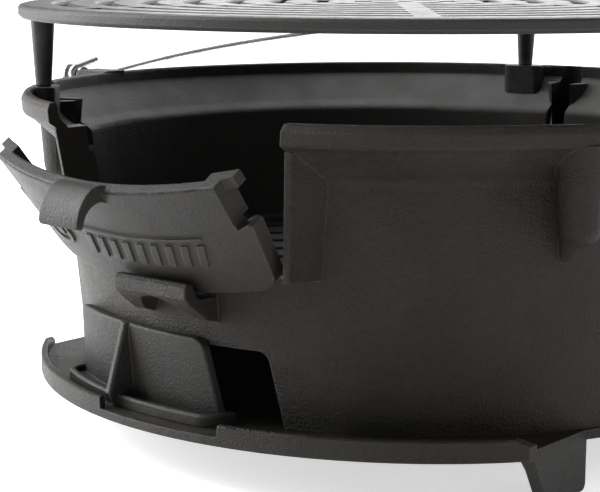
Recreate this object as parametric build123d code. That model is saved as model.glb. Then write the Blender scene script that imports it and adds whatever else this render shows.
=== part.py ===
from build123d import *
import os
from math import asin, atan2, cos, degrees, radians, sin, sqrt

# Round cast iron hibachi grill. Millimetres. The origin is on the ground at the bowl's axis,
# +Z is up and the fire door faces -Y. Turns about Z are measured from the door's direction.

# base tray
TRAY_UNDER = 21.0
FLOOR_THICK = 4.0
FLOOR_TOP = TRAY_UNDER + FLOOR_THICK
TRAY_RIM_TOP = 30.0
TRAY_RIM_THICK = 3.0
HEARTH_R = 170.0
HEARTH_HALF_WIDTH = 136.0
BASE_R = 149.0
ASH_NOTCH_TURN = 11.2
FOOT_WIDTH = 39.5
FOOT_THICK = 6.0
FOOT_TAPER = 12.0

# fire bowl
WALL_BOTTOM_R = 148.0
WALL_SLOPE = 0.1
WALL_THICK = 6.0
WALL_TOP = 127.5
RIM_TOP = 151.0
RIM_R = 177.0
BEAD_HEIGHT = 10.5
SILL_TOP = 88.0
SILL_HALF_WIDTH = 56.8
JAMB_LEAN = 0.117
JAMB_RIB_WIDTH = 8.5
JAMB_RIB_CREST = 2.5
JAMB_RIB_R = 165.0
JAMB_RIB_SLOPE = 0.16
JAMB_RIB_TOP = 140.0
JAMB_RIB_FEET = (106.0, 88.0)
DRAFT_TOP = 57.0
DRAFT_HALF_TOP = 41.0
DRAFT_HALF_BOTTOM = 46.5
DRAFT_CORNER_R = 5.0

# leg seats of the cooking grate: sockets at the low height, bosses beside them at the high one
SOCKET_TURNS = (-60.0, 60.0, 184.0)
BOSS_SHIFT = 9.0
LEG_CIRCLE_R = 168.5
BOSS_WIDTH = 21.0
BOSS_INNER_R = 162.0
BOSS_HEIGHT = 15.0
SOCKET_FLOOR_R = 4.8
SOCKET_MOUTH_R = 6.8
SOCKET_FLOOR = 120.0
BULGE_CIRCLE_R = 166.5
BULGE_TOP_R = 11.0
BULGE_WAIST_R = 8.6
BULGE_WAIST_Z = 112.0
BULGE_TIP_Z = 95.0

# fire door, modelled closed and then turned open
DOOR_BOTTOM = 83.0
DOOR_TOP = 140.0
DOOR_OUTER_R = 163.6
DOOR_SLOPE = 0.12
DOOR_THICK = 6.0
DOOR_LOWER_HALF = 67.0
DOOR_BOTTOM_HALF = 61.8
DOOR_STEP_Z = 118.8
DOOR_UPPER_HALF = 61.9
DOOR_NECK_HALF = 60.4
CHEEK_THICK = 5.0
CHEEK_DEPTH = 9.5
EAR_HEIGHT = 5.5
EAR_REACH = 4.2
EAR_THICK = 4.5
DOOR_TURN = -1.6
DOOR_SHIFT_X = -5.8
DOOR_SHIFT_Y = 2.1
DOOR_OPEN_ANGLE = 33.7
DOOR_PIVOT_Y = -154.5
DOOR_PIVOT_Z = 83.3
HANDLE_HALF_WIDTH = 11.0
RELIEF_HEIGHT = 0.9

# bracket below the door
BRACKET_HALF_WIDTH = 20.0
BRACKET_LIP_Y = -170.5
BRACKET_ARCH_R = 15.0

# draft slider, modelled in the middle and then turned to one side
SLIDER_TURN = -11.5
SLIDER_GAP = 0.6
SLIDER_THICK = 4.0
SLIDER_TOP = 60.0
SLIDER_BOTTOM = FLOOR_TOP + 0.2
SLIDER_HALF_TOP = 45.0
SLIDER_HALF_BOTTOM = 51.5
FLANGE_R = 161.5
FLANGE_HALF = 54.0
FLANGE_THICK = 2.2
LIP_HEIGHT = 4.8
FIN_THICK = 4.0
FIN_TOP_R = 157.5
FIN_BOTTOM_R = 165.8

# coal grate
COAL_R = 142.0
COAL_BOTTOM = 61.0
COAL_THICK = 7.0
COAL_RIM_TOP = 72.0
COAL_RIM_WIDTH = 8.0
COAL_SLOT = 7.0
COAL_PITCH = 23.0
COAL_TURN = 138.0
LEDGE_TURNS = (-150.0, -80.0, 80.0, 150.0)

# cooking grate and its legs
GRATE_R = 177.5
GRATE_UNDER = 184.5
GRATE_TOP = 190.5
RING_PITCH = 19.8
RING_COUNT = 8
RING_SLOT = 5.6
SPOKE_WIDTH = 10.0
LEG_TOP_R = 5.7
LEG_FOOT_R = 3.7
LEG_STUD_R = 3.5

# bail
BAIL_WIRE_R = 1.6
BAIL_PIVOT_Y = -20.0
BAIL_PIVOT_Z = 148.5
BAIL_HALF_SPAN = 199.5
BAIL_STRAIGHT = 47.0
BAIL_LEAN = 7.5
STUD_R = 2.2
STUD_HEAD_R = 5.0
STUD_GAP = 0.08
STUD_END_X = 206.5
LUG_END_X = 194.0

# screws that hold the bowl on the tray
SCREW_TURNS = (-135.0, -45.0, 45.0, 135.0)
SCREW_CIRCLE_R = 130.0
SCREW_R = 3.0
PAD_THICK = 8.0


def turned(shape, turn):
    """The shape turned about the bowl's axis, in degrees from the door's direction."""
    return Rot(0, 0, turn) * shape


def wall_r(z):
    """Outer radius of the bowl's tapered wall at height z."""
    return WALL_BOTTOM_R + WALL_SLOPE * (z - FLOOR_TOP)


def section(points):
    """Face in the XZ plane from (radius, height) points."""
    return make_face(Polyline([(x, 0, z) for x, z in points], close=True))


def side_plate(points, x_from, x_to):
    """Plate across X from an outline of (y, z) points."""
    face = make_face(Polyline([(x_from, y, z) for y, z in points], close=True))
    return extrude(face, amount=x_to - x_from, dir=(1, 0, 0))


def front_prism(points, depth_from, depth_to, corner=0.0, corner_points=()):
    """Prism along Y from an outline of (x, z) points, some corners rounded."""
    face = make_face(Polyline([(x, depth_from, z) for x, z in points], close=True))
    prism = extrude(face, amount=depth_to - depth_from, dir=(0, 1, 0))
    if corner_points:
        edges = [e for e in prism.edges().filter_by(Axis.Y)
                 if any(abs(e.center().X - x) < 0.1 and abs(e.center().Z - z) < 0.1
                        for x, z in corner_points)]
        prism = fillet(edges, corner)
    return prism


def cone_shell(outer_r, inner_r, slope, z_from, z_to):
    """Ring between two cones of the same slope, radii given at z_from."""
    rise = slope * (z_to - z_from)
    return revolve(section([(inner_r, z_from), (outer_r, z_from),
                            (outer_r + rise, z_to), (inner_r + rise, z_to)]), Axis.Z)


# ---- base tray ----

def foot():
    """One cast foot against a straight edge at x = HEARTH_HALF_WIDTH, with a gusset behind it."""
    x0 = HEARTH_HALF_WIDTH - FOOT_THICK
    near = -sqrt(HEARTH_R ** 2 - HEARTH_HALF_WIDTH ** 2) + 3.0
    far = near + FOOT_WIDTH
    outline = [(near, TRAY_UNDER + 1), (near + FOOT_TAPER, 0), (far, 0), (far, TRAY_UNDER + 1)]
    plate = side_plate(outline, x0, HEARTH_HALF_WIDTH)
    plate = fillet([e for e in plate.edges().filter_by(Axis.X) if e.center().Z < 0.1], 3.0)
    middle = (near + far) / 2
    gusset = front_prism([(x0 + 1, TRAY_UNDER + 1), (x0 + 1, 3), (x0 - 3, 3),
                          (x0 - 16, TRAY_UNDER + 1)], middle - 3, middle + 3)
    return plate + gusset


def back_foot():
    """The third foot, straight behind, against the tray's round edge."""
    y1 = BASE_R - 2.0
    half = FOOT_WIDTH / 2
    outline = [(-half, TRAY_UNDER + 1), (FOOT_TAPER / 2 - half, 0),
               (half - FOOT_TAPER / 2, 0), (half, TRAY_UNDER + 1)]
    plate = front_prism(outline, y1 - FOOT_THICK, y1, 3.0,
                        [(FOOT_TAPER / 2 - half, 0), (half - FOOT_TAPER / 2, 0)])
    y0 = y1 - FOOT_THICK
    gusset = side_plate([(y0 + 1, TRAY_UNDER + 1), (y0 + 1, 3), (y0 - 3, 3),
                         (y0 - 16, TRAY_UNDER + 1)], -3, 3)
    return plate + gusset


def base_tray():
    band = Pos(0, -HEARTH_R, 0) * Box(2 * HEARTH_HALF_WIDTH, 2 * (HEARTH_R - 40), 200)
    floor_disc = Pos(0, 0, TRAY_UNDER + FLOOR_THICK / 2) * Cylinder(BASE_R, FLOOR_THICK)
    hearth = Pos(0, 0, TRAY_UNDER + FLOOR_THICK / 2) * Cylinder(HEARTH_R, FLOOR_THICK)
    rim_outer = Pos(0, 0, (TRAY_UNDER + TRAY_RIM_TOP) / 2) * Cylinder(
        HEARTH_R, TRAY_RIM_TOP - TRAY_UNDER)
    rim_inner = Pos(0, 0, (TRAY_UNDER + TRAY_RIM_TOP) / 2) * Cylinder(
        HEARTH_R - TRAY_RIM_THICK, 20)
    rim = (rim_outer - rim_inner) & band
    top_edges = [e for e in rim.edges().filter_by(GeomType.CIRCLE)
                 if abs(e.center().Z - TRAY_RIM_TOP) < 0.1]
    rim = fillet(top_edges, 0.9)
    notch_half = (HEARTH_R - 2) * sin(radians(ASH_NOTCH_TURN))
    rim -= front_prism([(-notch_half, FLOOR_TOP), (notch_half, FLOOR_TOP),
                        (notch_half + 2, 40), (-notch_half - 2, 40)], -180, -150)
    tray = floor_disc + (hearth & band) + rim
    # the rim runs out to the floor at both corners
    for side in (-1, 1):
        x = side * HEARTH_HALF_WIDTH
        tray -= front_prism([(x - side * 5, TRAY_RIM_TOP + 0.5), (x + side * 1, FLOOR_TOP + 1.2),
                             (x + side * 1, TRAY_RIM_TOP + 0.5)], -140, -60)
    right_foot = foot()
    tray += right_foot + mirror(right_foot, Plane.YZ) + back_foot()
    bottom_edges = [e for e in tray.edges().filter_by(GeomType.CIRCLE)
                    if abs(e.center().Z - TRAY_UNDER) < 0.1 and e.radius > HEARTH_R - 1]
    tray = fillet(bottom_edges, 1.0)
    for turn in SCREW_TURNS:
        tray -= turned(Pos(0, -SCREW_CIRCLE_R, TRAY_UNDER) * Cylinder(SCREW_R + 0.4, 40), turn)
    return tray


# ---- fire bowl ----

def bowl_shell():
    top_r = wall_r(WALL_TOP)
    bead_low = RIM_TOP - BEAD_HEIGHT
    inner = WALL_THICK
    outline = [
        (WALL_BOTTOM_R - inner, FLOOR_TOP), (WALL_BOTTOM_R, FLOOR_TOP),
        (top_r, WALL_TOP), (RIM_R - 4.0, bead_low), (RIM_R - 0.5, bead_low + 2.0),
        (RIM_R, RIM_TOP - 3.0), (RIM_R - 1.5, RIM_TOP), (RIM_R - 5.0, RIM_TOP),
        (RIM_R - 6.0, RIM_TOP - 6.2), (RIM_R - 18.5, RIM_TOP - 19.5),
        (top_r - inner + 0.3, WALL_TOP),
    ]
    radii = [0, 0, 5.0, 2.0, 2.0, 2.0, 1.4, 1.4, 2.0, 2.5, 4.0]
    profile = section(outline)
    for (x, z), r in zip(outline, radii):
        if r:
            corner = profile.vertices().sort_by_distance((x, 0, z))[0]
            profile = fillet([corner], r)
    return revolve(profile, Axis.Z)


def jamb_x(z):
    """Half the door opening's width at height z: it widens upwards."""
    return SILL_HALF_WIDTH + JAMB_LEAN * (z - SILL_TOP)


def rib_section(z):
    """Plan of a jamb rib at height z: a narrow crest at the opening and a sloping flank."""
    crest_r = JAMB_RIB_R + JAMB_RIB_SLOPE * (z - SILL_TOP)
    buried_r = wall_r(z) - 2.5
    x0 = jamb_x(z) - 1.0
    x1 = x0 + 1.0 + JAMB_RIB_CREST
    x2 = x1 + JAMB_RIB_WIDTH - JAMB_RIB_CREST
    plan = [(x0, crest_r), (x1, crest_r), (x2, buried_r), (x0, buried_r)]
    return make_face(Polyline([(x, -sqrt(r ** 2 - x ** 2), z) for x, r in plan], close=True))


def jamb_rib(foot_z):
    """The upright rib outside the opening's +X edge, from foot_z up into the flare."""
    rib = loft([rib_section(foot_z), rib_section(JAMB_RIB_TOP)], ruled=True)
    crest = [e for e in rib.edges() if e.length > 30 and e.center().Y < -154]
    return fillet(crest, 0.9)


def leg_boss():
    """Raised pad inside the rim that a grate leg stands on."""
    depth = RIM_R - 6.0 - BOSS_INNER_R
    block = Pos(0, -(BOSS_INNER_R + depth / 2), RIM_TOP - BOSS_HEIGHT / 2) * Box(
        BOSS_WIDTH, depth, BOSS_HEIGHT)
    block &= revolve(section([(0, RIM_TOP - 20), (wall_r(WALL_TOP) - 1, RIM_TOP - 20),
                              (RIM_R - 6, RIM_TOP - BEAD_HEIGHT), (RIM_R - 3, RIM_TOP),
                              (0, RIM_TOP)]), Axis.Z)
    uprights = [e for e in block.edges().filter_by(Axis.Z) if e.center().Y > -BOSS_INNER_R - 1]
    return fillet(uprights, 4.0)


def socket_bulge():
    """Bulge outside the wall that closes a leg socket: an upright cone with a leaning tip."""
    top_z = RIM_TOP - BEAD_HEIGHT + 2
    upright = Pos(0, -BULGE_CIRCLE_R, (BULGE_WAIST_Z + top_z) / 2) * Cone(
        BULGE_WAIST_R, BULGE_TOP_R, top_z - BULGE_WAIST_Z)
    waist = Vector(0, -BULGE_CIRCLE_R, BULGE_WAIST_Z + 1.5)
    tip = Vector(0, -wall_r(BULGE_TIP_Z) + 2.5, BULGE_TIP_Z)
    lean = waist - tip
    leaning = Plane(origin=(waist + tip) * 0.5, z_dir=lean) * Cone(
        1.8, BULGE_WAIST_R - 0.7, lean.length)
    knee = Pos(0, -BULGE_CIRCLE_R, BULGE_WAIST_Z) * Sphere(BULGE_WAIST_R)
    return upright + leaning + knee


def socket_cut():
    """Tapered socket with a slot open to the inside and to the top."""
    height = RIM_TOP - SOCKET_FLOOR + 2
    middle = SOCKET_FLOOR + height / 2
    hole = Pos(0, -LEG_CIRCLE_R, middle) * Cone(SOCKET_FLOOR_R, SOCKET_MOUTH_R, height)
    slot = Pos(0, -LEG_CIRCLE_R + 20, middle) * Box(2 * SOCKET_FLOOR_R + 1, 40, height)
    return hole + slot


def bracket():
    """Ledge below the sill, with a trough for the door's lower edge and an arch under it."""
    y_lip = BRACKET_LIP_Y
    outline = [(-148, 66), (-158, 69), (y_lip + 3, 76), (y_lip, 79), (y_lip, 83.5),
               (y_lip + 1.5, 85), (y_lip + 4.3, 85), (y_lip + 5.2, 83.5), (y_lip + 7, 79.2),
               (y_lip + 10, 77.8), (-148, 77.8)]
    ledge = side_plate(outline, -BRACKET_HALF_WIDTH, BRACKET_HALF_WIDTH)
    arch = Pos(0, -165, 63) * Rot(90, 0, 0) * Cylinder(BRACKET_ARCH_R, 40)
    ledge -= arch
    ends = [e for e in ledge.edges() if abs(abs(e.center().X) - BRACKET_HALF_WIDTH) < 0.1
            and e.center().Y < -160 and e.center().Z > 74]
    return fillet(ends, 0.9)


def bail_lug():
    """Cast lug on the +X side that carries a stud for the bail's hook."""
    x0 = RIM_R - 6.0
    block = Pos((x0 + LUG_END_X) / 2, BAIL_PIVOT_Y, BAIL_PIVOT_Z - 3) * Box(
        LUG_END_X - x0, 14, 12)
    edges = [e for e in block.edges() if e.center().X > LUG_END_X - 0.5]
    block = fillet(edges, 3.0)
    hole = Pos(LUG_END_X - 6, BAIL_PIVOT_Y, BAIL_PIVOT_Z) * Rot(0, 90, 0) * Cylinder(STUD_R, 12.2)
    return block - hole


def draft_cutter():
    return front_prism([(-DRAFT_HALF_BOTTOM, FLOOR_TOP - 1), (DRAFT_HALF_BOTTOM, FLOOR_TOP - 1),
                        (DRAFT_HALF_TOP, DRAFT_TOP), (-DRAFT_HALF_TOP, DRAFT_TOP)], -165, -90,
                       DRAFT_CORNER_R, [(DRAFT_HALF_TOP, DRAFT_TOP), (-DRAFT_HALF_TOP, DRAFT_TOP)])


def coal_ledge():
    """Small shelf inside the wall that the coal grate rests on."""
    r = wall_r(COAL_BOTTOM) - WALL_THICK
    outline = [(-r - 2, COAL_BOTTOM - 16), (-r + 6, COAL_BOTTOM - 5), (-r + 6, COAL_BOTTOM),
               (-r - 2, COAL_BOTTOM)]
    return side_plate(outline, -9, 9)


def screw_pad():
    """Pad inside the wall's foot, bored for a screw."""
    y0 = -WALL_BOTTOM_R + 4
    y1 = -SCREW_CIRCLE_R + 11
    pad = Pos(0, (y0 + y1) / 2, FLOOR_TOP + PAD_THICK / 2) * Box(20, y1 - y0, PAD_THICK)
    pad = fillet([e for e in pad.edges().filter_by(Axis.Z) if e.center().Y > y1 - 1], 6.0)
    return pad - Pos(0, -SCREW_CIRCLE_R, FLOOR_TOP) * Cylinder(SCREW_R + 0.4, 40)


def fire_bowl():
    bowl = bowl_shell()
    for turn in SOCKET_TURNS:
        bowl += turned(leg_boss(), turn + BOSS_SHIFT)
        bowl += turned(socket_bulge(), turn)
    # the left rib starts higher, clear of the open door's lower corner
    left_foot, right_foot = JAMB_RIB_FEET
    bowl += jamb_rib(right_foot) + mirror(jamb_rib(left_foot), Plane.YZ)
    opening = front_prism([(-SILL_HALF_WIDTH, SILL_TOP), (SILL_HALF_WIDTH, SILL_TOP),
                           (jamb_x(200), 200), (-jamb_x(200), 200)], -200, -90, 4.0,
                          [(SILL_HALF_WIDTH, SILL_TOP), (-SILL_HALF_WIDTH, SILL_TOP)])
    bowl -= opening
    bowl -= draft_cutter()
    for turn in SOCKET_TURNS:
        bowl -= turned(socket_cut(), turn)
    bowl += bracket()
    for turn in LEDGE_TURNS:
        bowl += turned(coal_ledge(), turn)
    for turn in SCREW_TURNS:
        bowl += turned(screw_pad(), turn)
    lug = bail_lug()
    bowl += lug + mirror(lug, Plane.YZ)
    return bowl


# ---- screws ----

def bowl_screws():
    """Pan head screws driven from below, as one group."""
    group = []
    for turn in SCREW_TURNS:
        shank = Pos(0, -SCREW_CIRCLE_R, 32) * Cylinder(SCREW_R, 30)
        head = Pos(0, -SCREW_CIRCLE_R, TRAY_UNDER - 2) * Cylinder(6.0, 4)
        head = fillet(head.edges().sort_by(Axis.Z)[0], 1.8)
        slot = Pos(0, -SCREW_CIRCLE_R, TRAY_UNDER - 4) * Box(1.4, 14, 2.4)
        group.append(turned(head + shank - slot, turn))
    return Compound(group)


def ring_group(outer, inner, z_from, thick, sides=0):
    """One washer or nut on each screw, as one group."""
    group = []
    for turn in SCREW_TURNS:
        if sides:
            body = extrude(RegularPolygon(outer, sides, major_radius=False), thick)
            body = fillet(body.edges().group_by(Axis.Z)[-1], 0.4)
            body = Pos(0, -SCREW_CIRCLE_R, z_from) * body
        else:
            body = Pos(0, -SCREW_CIRCLE_R, z_from + thick / 2) * Cylinder(outer, thick)
        body -= Pos(0, -SCREW_CIRCLE_R, z_from) * Cylinder(inner, 4 * thick)
        group.append(turned(body, turn))
    return Compound(group)


# ---- fire door ----

def door_handle():
    """Curled tongue in the middle of the door's top edge."""
    upper = Spline((-165.5, DOOR_TOP - 0.8), (-173.5, DOOR_TOP + 3.6), (-181.0, DOOR_TOP + 1.6),
                   (-187.5, DOOR_TOP - 4.5))
    lower = Spline((-185.0, DOOR_TOP - 7.2), (-180.0, DOOR_TOP - 2.8), (-175.0, DOOR_TOP - 2.4),
                   (-168.5, DOOR_TOP - 8.5))
    profile = make_face([upper, Line(upper @ 1, lower @ 0), lower, Line(lower @ 1, upper @ 0)])
    profile = Plane.YZ * profile
    tongue = extrude(profile, amount=HANDLE_HALF_WIDTH, both=True)
    corners = [e for e in tongue.edges() if e.center().Y < -184.5 and e.length < 8]
    return fillet(corners, 1.9)


def door_relief():
    """Plain raised ornament: a long bar over a row of slanted bars, and a ring beside them."""
    parts = [front_prism([(-26, 113.6), (45, 113.6), (45, 115), (-26, 115)], -175, -150)]
    for i in range(9):
        x = -22 + 7.4 * i
        parts.append(front_prism([(x, 99), (x + 3.4, 99), (x + 7.4, 111), (x + 4.0, 111)],
                                 -175, -150))
    ring = Pos(-41, -162, 106) * Rot(90, 0, 0) * (Cylinder(8.5, 30) - Cylinder(6.6, 32))
    dot = Pos(-41, -162, 106) * Rot(90, 0, 0) * Cylinder(3.2, 30)
    ornament = ring + dot
    for bar in parts:
        ornament += bar
    shell = cone_shell(DOOR_OUTER_R + RELIEF_HEIGHT, DOOR_OUTER_R - 1.5, DOOR_SLOPE,
                       DOOR_BOTTOM, DOOR_TOP)
    return ornament & shell


def fire_door_closed():
    height = DOOR_TOP - DOOR_BOTTOM
    shell = cone_shell(DOOR_OUTER_R, DOOR_OUTER_R - DOOR_THICK, DOOR_SLOPE, DOOR_BOTTOM, DOOR_TOP)
    right = [(DOOR_BOTTOM_HALF, DOOR_BOTTOM), (DOOR_LOWER_HALF, DOOR_STEP_Z - 1.5),
             (DOOR_LOWER_HALF - 1.5, DOOR_STEP_Z), (DOOR_NECK_HALF + 0.5, DOOR_STEP_Z - 2.0),
             (DOOR_NECK_HALF, DOOR_STEP_Z + 1.0), (DOOR_UPPER_HALF, DOOR_TOP)]
    left = [(-x, z) for x, z in reversed(right)]
    outline = front_prism(right + left, -200, -120, 8.0,
                          [(DOOR_BOTTOM_HALF, DOOR_BOTTOM), (-DOOR_BOTTOM_HALF, DOOR_BOTTOM)])
    door = shell & outline
    rim = [e for e in door.edges() if e.center().Z > DOOR_BOTTOM + height - 1 and e.length > 80]
    door = fillet(rim, 1.2)
    # cheeks stand back from the upper half, and each ends in an ear
    deep = cone_shell(DOOR_OUTER_R - 2, DOOR_OUTER_R - CHEEK_DEPTH, DOOR_SLOPE,
                      DOOR_BOTTOM, DOOR_TOP)
    ear_shell = cone_shell(DOOR_OUTER_R - CHEEK_DEPTH + EAR_THICK, DOOR_OUTER_R - CHEEK_DEPTH,
                           DOOR_SLOPE, DOOR_BOTTOM, DOOR_TOP)
    low, high = DOOR_STEP_Z + 1.0, DOOR_TOP
    inner, neck = DOOR_NECK_HALF - CHEEK_THICK, DOOR_NECK_HALF
    ear_x = DOOR_UPPER_HALF + EAR_REACH
    for side in (-1, 1):
        cheek = front_prism([(side * inner, low + 3), (side * neck, low),
                             (side * (neck + 1.4), high), (side * inner, high)], -180, -130)
        ear = front_prism([(side * inner, high - EAR_HEIGHT), (side * ear_x, high - EAR_HEIGHT),
                           (side * ear_x, high), (side * inner, high)], -180, -130)
        door += (cheek & deep) + (ear & ear_shell)
    return door + door_handle() + door_relief()


def open_door(shape):
    """Set the door down in the bracket, a little to one side, and tilt it outwards."""
    shape = Pos(DOOR_SHIFT_X, DOOR_SHIFT_Y, 0) * Rot(0, 0, DOOR_TURN) * shape
    seat = Axis((0, DOOR_PIVOT_Y, DOOR_PIVOT_Z), (1, 0, 0))
    return shape.rotate(seat, DOOR_OPEN_ANGLE)


# ---- draft slider ----

def draft_slider():
    plate_r = wall_r(SLIDER_BOTTOM) + SLIDER_GAP
    plate = cone_shell(plate_r + SLIDER_THICK, plate_r, WALL_SLOPE, SLIDER_BOTTOM, SLIDER_TOP)
    plate &= front_prism([(-SLIDER_HALF_BOTTOM, SLIDER_BOTTOM), (SLIDER_HALF_BOTTOM, SLIDER_BOTTOM),
                          (SLIDER_HALF_TOP, SLIDER_TOP), (-SLIDER_HALF_TOP, SLIDER_TOP)],
                         -180, -100, 6.0,
                         [(SLIDER_HALF_TOP, SLIDER_TOP), (-SLIDER_HALF_TOP, SLIDER_TOP)])
    outer_edges = [e for e in plate.edges() if e.length > 60 and e.center().Z > SLIDER_TOP - 1]
    plate = fillet(outer_edges, 1.0)
    ring = Circle(FLANGE_R) - Circle(plate_r + 0.05)
    window = Pos(0, -FLANGE_R, 0) * Rectangle(2 * FLANGE_HALF, 2 * FLANGE_R - 200)
    plan = ring & window
    outer_corners = plan.vertices().sort_by(Axis.Y)[0:2]
    plan = fillet(outer_corners, 9.0)
    flange = extrude(Pos(0, 0, SLIDER_BOTTOM) * plan, FLANGE_THICK)
    hollow = offset(plan, amount=-3.0)
    lip = extrude(Pos(0, 0, SLIDER_BOTTOM) * (plan - hollow), LIP_HEIGHT)
    top_edges = [e for e in lip.edges() if abs(e.center().Z - SLIDER_BOTTOM - LIP_HEIGHT) < 0.05]
    lip = chamfer(top_edges, 0.8)
    fin = side_plate([(-plate_r - 1, SLIDER_BOTTOM), (-FIN_BOTTOM_R + 1.5, SLIDER_BOTTOM + 1.5),
                      (-FIN_BOTTOM_R, SLIDER_BOTTOM + 5.5), (-FIN_TOP_R, SLIDER_TOP),
                      (-plate_r - 4.6, SLIDER_TOP)],
                     -FIN_THICK / 2, FIN_THICK / 2)
    front = [e for e in fin.edges() if e.center().Y < -FIN_TOP_R - 1 and abs(e.center().X) > 1
             and e.length > 20]
    fin = fillet(front, 1.4)
    return turned(plate + flange + lip + fin, SLIDER_TURN)


# ---- grates ----

def coal_grate():
    """Slatted round grate with a raised outer rim."""
    z_slat = COAL_BOTTOM + COAL_THICK
    disc = Pos(0, 0, (COAL_BOTTOM + z_slat) / 2) * Cylinder(COAL_R, COAL_THICK)
    field = Pos(0, 0, COAL_BOTTOM) * Cylinder(COAL_R - COAL_RIM_WIDTH, 60)
    rim = Pos(0, 0, (COAL_BOTTOM + COAL_RIM_TOP) / 2) * Cylinder(
        COAL_R, COAL_RIM_TOP - COAL_BOTTOM) - field
    rim = fillet([e for e in rim.edges() if abs(e.center().Z - COAL_RIM_TOP) < 0.1], 1.5)
    count = int((COAL_R - COAL_RIM_WIDTH) // COAL_PITCH)
    slots = None
    for i in range(-count, count + 1):
        offset_y = i * COAL_PITCH
        half = sqrt((COAL_R - COAL_RIM_WIDTH - 2) ** 2 - (abs(offset_y) + COAL_SLOT / 2) ** 2)
        for side in (-1, 1):
            start = 5.0
            length = half - start
            slot = extrude(SlotOverall(length, COAL_SLOT), COAL_THICK + 4)
            slot = Pos(side * (start + length / 2), offset_y, COAL_BOTTOM - 2) * slot
            slots = slot if slots is None else slots + slot
    return turned(disc + rim - slots, COAL_TURN - 90)


def ring_slot(radius):
    """Cutter for one ring slot of the cooking grate, with rounded top arrises."""
    half = RING_SLOT / 2
    profile = section([
        (radius - half, GRATE_UNDER - 1), (radius + half, GRATE_UNDER - 1),
        (radius + half, GRATE_TOP - 2.0), (radius + half + 0.5, GRATE_TOP - 0.8),
        (radius + half + 1.6, GRATE_TOP), (radius + half + 1.6, GRATE_TOP + 1),
        (radius - half - 1.6, GRATE_TOP + 1), (radius - half - 1.6, GRATE_TOP),
        (radius - half - 0.5, GRATE_TOP - 0.8), (radius - half, GRATE_TOP - 2.0)])
    gap = degrees(SPOKE_WIDTH / radius)
    arcs = []
    for k in range(6):
        sector = revolve(profile, Axis.Z, 60 - gap)
        arcs.append(Rot(0, 0, 60 * k + gap / 2) * sector)
    return arcs


def cooking_grate():
    edge = 1.6
    profile = section([(0, GRATE_UNDER), (GRATE_R - 1.5, GRATE_UNDER), (GRATE_R, GRATE_UNDER + 1.5),
                       (GRATE_R, GRATE_TOP - edge), (GRATE_R - 0.5 * edge, GRATE_TOP - 0.3 * edge),
                       (GRATE_R - 1.6 * edge, GRATE_TOP), (0, GRATE_TOP)])
    grate = revolve(profile, Axis.Z)
    spokes_turn = SOCKET_TURNS[0] + BOSS_SHIFT + 30
    for k in range(1, RING_COUNT + 1):
        for arc in ring_slot(k * RING_PITCH):
            grate -= turned(arc, spokes_turn - 90)
    hub = Pos(0, 0, GRATE_TOP) * Cylinder(4.0, 20)
    grate -= hub
    for turn in SOCKET_TURNS:
        pos = Pos(0, -LEG_CIRCLE_R, GRATE_UNDER)
        grate -= turned(pos * Cylinder(LEG_STUD_R, 7.0), turn + BOSS_SHIFT)
    return grate


def grate_leg(turn):
    """Tapered leg with a stud driven into the cooking grate."""
    height = GRATE_UNDER - RIM_TOP
    taper = Pos(0, 0, RIM_TOP + height / 2) * Cone(LEG_FOOT_R, LEG_TOP_R, height)
    taper = fillet(taper.edges().sort_by(Axis.Z)[0], 1.0)
    stud = Pos(0, 0, GRATE_UNDER + 1.7) * Cylinder(LEG_STUD_R, 3.4)
    return turned(Pos(0, -LEG_CIRCLE_R, 0) * (taper + stud), turn)


# ---- bail ----

def bail_stud():
    """Headed stud on the +X side, driven into the lug."""
    start = LUG_END_X - 12
    shank = Pos((start + STUD_END_X) / 2, 0, 0) * Rot(0, 90, 0) * Cylinder(
        STUD_R, STUD_END_X - start)
    head = Pos(STUD_END_X - 1.25, 0, 0) * Rot(0, 90, 0) * Cylinder(STUD_HEAD_R, 2.5)
    head = fillet([e for e in head.edges() if e.center().X > STUD_END_X - 0.2], 1.0)
    collar = Pos(LUG_END_X + 0.75, 0, 0) * Rot(0, 90, 0) * Cylinder(STUD_HEAD_R - 1, 1.5)
    return Pos(0, BAIL_PIVOT_Y, BAIL_PIVOT_Z) * (shank + head + collar)


def bail_wire():
    """Wire bail with a hook round each stud, laid back and slightly raised."""
    hook_r = STUD_R + STUD_GAP + BAIL_WIRE_R
    span, straight = BAIL_HALF_SPAN, BAIL_STRAIGHT
    tail, rise = 15.0, 1.2
    edges = []
    for x in (span, -span):
        end = Line((x, tail, hook_r + rise), (x, 2.5, hook_r))
        top = Line((x, 2.5, hook_r), (x, 0, hook_r))
        hook = ThreePointArc((x, 0, hook_r), (x, -hook_r, 0), (x, 0, -hook_r))
        arm = Line((x, 0, -hook_r), (x, straight, -hook_r))
        edges += [end, top, hook, arm]
    edges.append(ThreePointArc((span, straight, -hook_r), (0, straight + span, -hook_r),
                               (-span, straight, -hook_r)))
    path = Wire(edges)
    wire = sweep(Plane(path @ 0, z_dir=path % 0) * Circle(BAIL_WIRE_R), path=path,
                 transition=Transition.ROUND)
    return Pos(0, BAIL_PIVOT_Y, BAIL_PIVOT_Z) * Rot(BAIL_LEAN, 0, 0) * wire


def build():
    stud = bail_stud()
    nodes = {
        "base_tray": base_tray(),
        "fire_bowl": fire_bowl(),
        "bowl_screws": bowl_screws(),
        "screw_washers": ring_group(6.0, SCREW_R + 0.3, FLOOR_TOP + PAD_THICK, 1.6),
        "screw_nuts": ring_group(5.0, SCREW_R, FLOOR_TOP + PAD_THICK + 1.6, 5.0, sides=6),
        "fire_door": open_door(fire_door_closed()),
        "draft_slider": draft_slider(),
        "coal_grate": coal_grate(),
        "cooking_grate": cooking_grate(),
        "bail_wire": bail_wire(),
        "bail_stud_right": stud,
        "bail_stud_left": mirror(stud, Plane.YZ),
    }
    for name, turn in zip(("left", "right", "back"), SOCKET_TURNS):
        nodes["grate_leg_" + name] = grate_leg(turn + BOSS_SHIFT)
    return nodes


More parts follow.
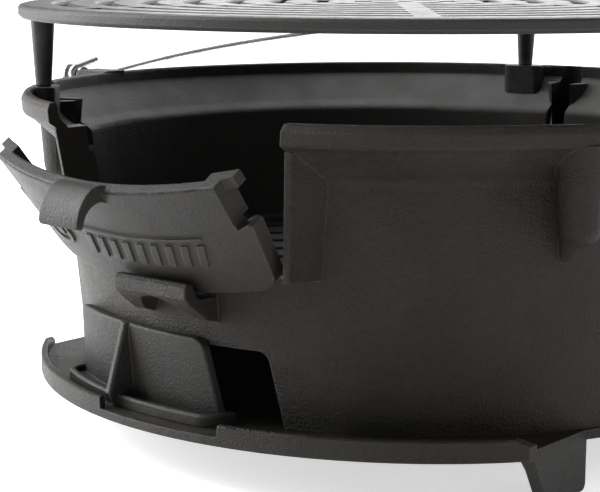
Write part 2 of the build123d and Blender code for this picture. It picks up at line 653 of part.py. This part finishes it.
os.makedirs("parts", exist_ok=True)
for node, shape in build().items():
    export_step(shape, "parts/" + node + ".step")
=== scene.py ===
from math import radians

import bmesh
import bpy
from mathutils import Matrix, Vector

# Looks of a round cast iron hibachi. Metres, in the frame's own axes: the bowl's axis is Z,
# the ground is z = 0 and the fire door faces -Y.

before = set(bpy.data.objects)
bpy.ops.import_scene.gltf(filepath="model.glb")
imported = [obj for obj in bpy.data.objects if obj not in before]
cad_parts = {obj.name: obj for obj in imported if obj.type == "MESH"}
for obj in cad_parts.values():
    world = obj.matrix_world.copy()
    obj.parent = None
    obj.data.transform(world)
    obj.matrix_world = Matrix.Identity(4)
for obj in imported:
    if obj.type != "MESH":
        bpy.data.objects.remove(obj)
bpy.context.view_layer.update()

MM = 0.001

# heights on the bowl and the legs
FLARE_FOOT = 0.1255
LEDGE_START = 0.130
LEDGE_END = 0.143
RIM_TURN = 0.147
SOOT_FADE_START = 0.118
SOOT_FADE_END = 0.150
LEG_TIP_END = 0.151
LEG_SHANK_START = 0.156

IRON_IOR = 1.45
PLATING_IOR = 1.5
FLOOR_HALF_WIDTH = 30


# ---- materials: a little shader language ----

class Signal:
    """A node's output that can stand in arithmetic, where each operation adds a Math node."""

    def __init__(self, finish, socket):
        self.finish = finish
        self.socket = socket

    def math(self, operation, *values):
        return self.finish.add("ShaderNodeMath", {"operation": operation},
                               dict(enumerate(values)))

    def __add__(self, other):
        return self.math("ADD", self, other)

    def __radd__(self, other):
        return self.math("ADD", other, self)

    def __sub__(self, other):
        return self.math("SUBTRACT", self, other)

    def __rsub__(self, other):
        return self.math("SUBTRACT", other, self)

    def __mul__(self, other):
        return self.math("MULTIPLY", self, other)

    def __rmul__(self, other):
        return self.math("MULTIPLY", other, self)

    def clamped(self, low, high):
        """0 where this is low or less, 1 where it is high or more, with a soft step between."""
        return self.finish.add("ShaderNodeMapRange", {"interpolation_type": "SMOOTHSTEP"},
                               {"Value": self, "From Min": low, "From Max": high})


class Finish:
    """One material, built up node by node around a Principled shader."""

    def __init__(self, name, **constants):
        self.material = bpy.data.materials.new(name)
        self.material.use_nodes = True
        self.tree = self.material.node_tree
        self.shader = self.tree.nodes["Principled BSDF"]
        for socket, value in constants.items():
            self.shader.inputs[socket.replace("_", " ")].default_value = value
        self.place = self.add("ShaderNodeTexCoord", output="Object")
        axes = self.tree.nodes.new("ShaderNodeSeparateXYZ")
        self.tree.links.new(self.place.socket, axes.inputs[0])
        self.x, self.y, self.z = (Signal(self, axis) for axis in axes.outputs)

    def add(self, kind, settings=None, inputs=None, output=0):
        """A node of that type: its settings first, then its sockets' values or links."""
        node = self.tree.nodes.new(kind)
        for name, value in (settings or {}).items():
            setattr(node, name, value)
        for name, value in (inputs or {}).items():
            if isinstance(value, Signal):
                self.tree.links.new(value.socket, node.inputs[name])
            else:
                node.inputs[name].default_value = value
        return Signal(self, node.outputs[output])

    def noise(self, size, detail=2.0, roughness=0.5, at=None):
        """Noise from 0 to 1 whose features are about that size."""
        return self.add("ShaderNodeTexNoise", {}, {
            "Vector": at or self.place, "Scale": 1 / size, "Detail": detail,
            "Roughness": roughness})

    def pits(self, size):
        """Distance to the nearest of scattered points about that far apart, 0 at the points."""
        return self.add("ShaderNodeTexVoronoi", {}, {"Vector": self.place, "Scale": 1 / size})

    def facing(self, component):
        """The surface normal's X, Y or Z part."""
        normal = self.add("ShaderNodeNewGeometry", output="Normal")
        return self.add("ShaderNodeSeparateXYZ", {}, {0: normal}, component)

    def mix(self, amount, first, second):
        """One colour blending into another."""
        node = self.tree.nodes.new("ShaderNodeMix")
        node.data_type = "RGBA"
        for index, value in ((0, amount), (6, first), (7, second)):
            if isinstance(value, Signal):
                self.tree.links.new(value.socket, node.inputs[index])
            else:
                node.inputs[index].default_value = value
        return Signal(self, node.outputs[2])

    def arris(self, radius):
        """Near 1 on the sharp outer edges and corners of the piece, 0 on its flat faces."""
        rounded = self.add("ShaderNodeBevel", {"samples": 4}, {"Radius": radius})
        flat = self.add("ShaderNodeNewGeometry", output="Normal")
        match = self.add("ShaderNodeVectorMath", {"operation": "DOT_PRODUCT"},
                         {0: rounded, 1: flat}, "Value")
        return (1 - match).clamped(0.02, 0.25)

    def drive(self, **signals):
        """Link signals to the shader's sockets of those names."""
        for socket, signal in signals.items():
            self.tree.links.new(signal.socket, self.shader.inputs[socket.replace("_", " ")])

    def relief(self, height, depth, edge_radius=0.0):
        """Bump the surface by a height signal, on top of edges rounded to that radius."""
        inputs = {"Height": height, "Distance": depth, "Strength": 1.0}
        if edge_radius:
            inputs["Normal"] = self.add("ShaderNodeBevel", {"samples": 6},
                                        {"Radius": edge_radius})
        self.drive(Normal=self.add("ShaderNodeBump", {}, inputs))


def grey(level, warmth=0.0):
    """A grey colour, a little towards brown with warmth."""
    return (level * (1 + warmth), level, level * (1 - warmth), 1.0)


def sand_skin(finish):
    """Height of a sand-cast skin: fine grain, a few pits and slow unevenness."""
    grain = finish.noise(1.1 * MM, 4.0, 0.66)
    pits = 1 - finish.pits(3.4 * MM).clamped(0.05, 0.24)
    waves = finish.noise(16 * MM, 1.0)
    return grain * 1.3 + waves * 1.6 - pits * 0.25


def cast_iron(name, dark, pale, rough, grain_depth, soot=None, painted_highlight=None,
              edge_radius=0.9 * MM, edge_wear_and_highlight=0.35):
    """Oil-seasoned cast iron in two tones, its edges paler partly from wear and partly as a
    painted highlight. Optional 0 to 1 masks: one for soot, one for a pale grey painted
    highlight.
    """
    finish = Finish(name, IOR=IRON_IOR, Specular_IOR_Level=0.25)
    blotches = finish.noise(34 * MM, 3.0, 0.55).clamped(0.38, 0.66)
    speckle = finish.noise(2.2 * MM, 2.0, 0.6)
    # edges painted paler and made smoother: partly real wear, partly a painted highlight where
    # the edges catch the light
    edges = finish.arris(1.1 * MM) * edge_wear_and_highlight
    colour = finish.mix((blotches + speckle.clamped(0.35, 0.65)) * 0.5, dark, pale)
    colour = finish.mix(edges * (0.5 + speckle), colour, grey(0.11, 0.04))
    roughness = rough + (blotches - 0.5) * 0.08 + (speckle - 0.5) * 0.16 - edges * 0.12
    if soot:
        mask = soot(finish)
        colour = finish.mix(mask * 0.75, colour, grey(0.026, 0.10))
        roughness = roughness + mask * 0.14
    # painted highlight: the flare ledge painted pale grey where light falls on it, and made a
    # little smoother
    if painted_highlight:
        mask = painted_highlight(finish)
        colour = finish.mix(mask, colour, grey(0.20, 0.02))
        roughness = roughness - mask * 0.04
    finish.drive(Base_Color=colour, Roughness=roughness)
    finish.relief(sand_skin(finish), grain_depth, edge_radius)
    return finish.material


def inside_of_bowl(finish):
    """The smoked inner wall of the fire bowl, cleaner towards the rim."""
    inward = (finish.x * finish.facing(0) + finish.y * finish.facing(1)) * -1
    above = finish.z.clamped(SOOT_FADE_START, SOOT_FADE_END)
    return inward.clamped(0.02, 0.08) * (1 - above)


def ledge_painted_highlight(finish):
    """The flare's inner slope where it faces up, painted paler grey as a painted highlight
    where light falls on it.
    """
    height = (finish.z.clamped(FLARE_FOOT, LEDGE_START)
              * (1 - finish.z.clamped(LEDGE_END, RIM_TURN)))
    upward = finish.facing(2).clamped(0.12, 0.45)
    return height * upward * (0.75 + 0.25 * finish.noise(24 * MM, 4.0).clamped(0.35, 0.65))


def grate_iron_with_painted_sheen():
    """Cooking grate iron, its bar tops painted paler grey as a painted reflection of the light,
    and made smoother.
    """
    finish = Finish("grate_iron_painted_sheen", IOR=IRON_IOR, Specular_IOR_Level=0.30)
    tops = finish.facing(2).clamped(0.55, 0.95)
    streaks = finish.noise(9 * MM, 3.0, 0.6)
    speckle = finish.noise(1.8 * MM, 2.0, 0.6)
    edges = finish.arris(1.0 * MM)
    # painted reflection: bar tops that face up painted paler grey where light glances off them
    painted_top_sheen = tops * (0.35 + 0.65 * streaks.clamped(0.36, 0.62))
    colour = finish.mix(painted_top_sheen, grey(0.018, 0.05), grey(0.042, 0.03))
    # edges painted paler: partly real wear, partly a painted highlight where the edges catch
    # the light
    colour = finish.mix(edges * 0.35, colour, grey(0.12, 0.03))
    finish.drive(Base_Color=colour,
                 Roughness=0.50 - painted_top_sheen * 0.12 + (speckle - 0.5) * 0.14 - edges * 0.05)
    finish.relief(sand_skin(finish), 0.22 * MM, 0.7 * MM)
    return finish.material


def leg_iron():
    """Smoother turned and seasoned legs, with faint rings from turning."""
    finish = Finish("leg_iron_turned", IOR=IRON_IOR, Specular_IOR_Level=0.18)
    rings = finish.noise(1.2 * MM, 1.0, 0.5, at=finish.add(
        "ShaderNodeCombineXYZ", {}, {"Z": finish.z}))
    blotches = finish.noise(7 * MM, 2.0).clamped(0.35, 0.65)
    foot = 1 - finish.z.clamped(LEG_TIP_END, LEG_SHANK_START)
    shank = finish.mix(blotches, grey(0.017, 0.03), grey(0.026, 0.03))
    finish.drive(Base_Color=finish.mix(foot * 0.6, shank, grey(0.07)),
                 Roughness=0.40 + blotches * 0.08 - foot * 0.06)
    finish.relief(rings * 0.6 + finish.noise(1.1 * MM, 2.0), 0.05 * MM, 0.5 * MM)
    return finish.material


def plated_wire():
    """Bright plated wire with fine lines from drawing and a slightly uneven plating."""
    finish = Finish("bail_wire_plated", IOR=PLATING_IOR)
    drawn = finish.add("ShaderNodeCombineXYZ", {},
                       {"X": finish.x * 0.12, "Y": finish.y * 0.12, "Z": finish.z})
    lines = finish.noise(0.35 * MM, 2.0, 0.6, at=drawn)
    dull = finish.noise(12 * MM, 3.0, 0.55).clamped(0.40, 0.68)
    finish.drive(Base_Color=finish.mix(dull, grey(0.70, -0.01), grey(0.46, 0.01)),
                 Roughness=0.20 + dull * 0.14 + lines * 0.06,
                 Metallic=1 - dull * 0.08)
    finish.relief(lines, 0.02 * MM)
    return finish.material


def zinc_steel():
    """Dull zinc plated fixings, darkened by smoke where it settles."""
    finish = Finish("fixings_zinc_steel", IOR=PLATING_IOR)
    spangle = finish.add("ShaderNodeTexVoronoi", {}, {"Vector": finish.place, "Scale": 1 / MM},
                         "Color")
    flakes = finish.add("ShaderNodeSeparateColor", {}, {0: spangle})
    smoke = finish.noise(4 * MM, 3.0, 0.6).clamped(0.42, 0.70)
    finish.drive(Base_Color=finish.mix(smoke, grey(0.42, -0.02), grey(0.10, 0.06)),
                 Metallic=1 - smoke * 0.35,
                 Roughness=0.34 + flakes * 0.08 + smoke * 0.20)
    finish.relief(finish.noise(0.9 * MM, 2.0), 0.03 * MM, 0.3 * MM)
    return finish.material


def ashy(finish):
    """Where fine ash lies: on upward faces, patchily."""
    return finish.facing(2).clamped(0.6, 0.95) * finish.noise(13 * MM, 3.0).clamped(0.45, 0.7)


def give(material, *nodes):
    """Put a material on CAD nodes."""
    for name in nodes:
        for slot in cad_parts[name].material_slots:
            slot.material = material


def finish_cad_nodes():
    give(cast_iron("bowl_iron", grey(0.006, 0.16), grey(0.014, 0.18), 0.44, 0.70 * MM,
                   soot=inside_of_bowl, painted_highlight=ledge_painted_highlight), "fire_bowl")
    give(cast_iron("tray_iron", grey(0.007, 0.14), grey(0.016, 0.16), 0.46, 0.70 * MM),
         "base_tray")
    give(cast_iron("door_iron", grey(0.013, 0.07), grey(0.018, 0.08), 0.43, 0.32 * MM,
                   edge_radius=0.8 * MM), "fire_door")
    give(cast_iron("slider_iron", grey(0.0105, 0.07), grey(0.016, 0.08), 0.46, 0.34 * MM,
                   edge_radius=0.8 * MM), "draft_slider")
    give(cast_iron("coal_grate_iron", grey(0.018, 0.05), grey(0.030, 0.06), 0.60, 0.45 * MM,
                   soot=ashy), "coal_grate")
    give(grate_iron_with_painted_sheen(), "cooking_grate")
    give(leg_iron(), "grate_leg_left", "grate_leg_right", "grate_leg_back")
    give(plated_wire(), "bail_wire")
    give(zinc_steel(), "bowl_screws", "screw_washers", "screw_nuts", "bail_stud_left",
         "bail_stud_right")


# ---- floor, light and camera ----

def floor():
    shape = bmesh.new()
    bmesh.ops.create_grid(shape, x_segments=1, y_segments=1, size=FLOOR_HALF_WIDTH)
    mesh = bpy.data.meshes.new("floor")
    shape.to_mesh(mesh)
    shape.free()
    ground = bpy.data.objects.new("floor", mesh)
    bpy.context.scene.collection.objects.link(ground)
    finish = Finish("floor_paper", Base_Color=grey(0.90), Roughness=0.8,
                    Emission_Color=grey(1.0), Emission_Strength=0.58)
    mesh.materials.append(finish.material)


def soft_light(name, place, target, size, power):
    """A square area light at place that looks at target."""
    lamp = bpy.data.lights.new(name, "AREA")
    lamp.shape = "SQUARE"
    lamp.size = size
    lamp.energy = power
    holder = bpy.data.objects.new(name, lamp)
    holder.location = place
    holder.rotation_euler = (Vector(target) - Vector(place)).to_track_quat("-Z", "Y").to_euler()
    bpy.context.scene.collection.objects.link(holder)


def studio():
    world = bpy.data.worlds.new("studio")
    bpy.context.scene.world = world
    world.use_nodes = True
    sky = world.node_tree.nodes["Background"]
    sky.inputs["Color"].default_value = grey(1.0)
    sky.inputs["Strength"].default_value = 0.38
    sun = bpy.data.lights.new("overhead", "SUN")
    sun.energy = 2.4
    sun.angle = radians(60)
    holder = bpy.data.objects.new("overhead", sun)
    holder.rotation_euler = (radians(12), radians(-28), 0)
    bpy.context.scene.collection.objects.link(holder)
    soft_light("left_box", (-1.5, -0.7, 0.7), (0, 0, 0.08), 1.3, 60.0)
    soft_light("back_box", (-0.7, 1.5, 0.9), (0, 0, 0.15), 1.6, 26.0)
    soft_light("right_box", (1.5, 0.6, 0.8), (0, 0, 0.05), 1.0, 6.0)
    bpy.context.scene.view_settings.view_transform = "Standard"


def camera():
    """A camera a little above the rim, in front and to the right of the fire door."""
    eye = Vector((0.47938, -0.65938, 0.21773))
    right = Vector((0.74432, 0.66782, -0.00125))
    up = Vector((-0.10973, 0.12414, 0.98618))
    back = right.cross(up)
    turn = Matrix((right, up, back)).transposed().to_4x4()
    lens = bpy.data.cameras.new("camera")
    lens.sensor_width = 36.0
    lens.lens = 104.68
    lens.shift_x = 0.1265
    lens.shift_y = -0.0186
    lens.clip_end = 100.0
    holder = bpy.data.objects.new("camera", lens)
    holder.matrix_world = Matrix.Translation(eye) @ turn
    bpy.context.scene.collection.objects.link(holder)
    bpy.context.scene.camera = holder


finish_cad_nodes()
floor()
studio()
camera()
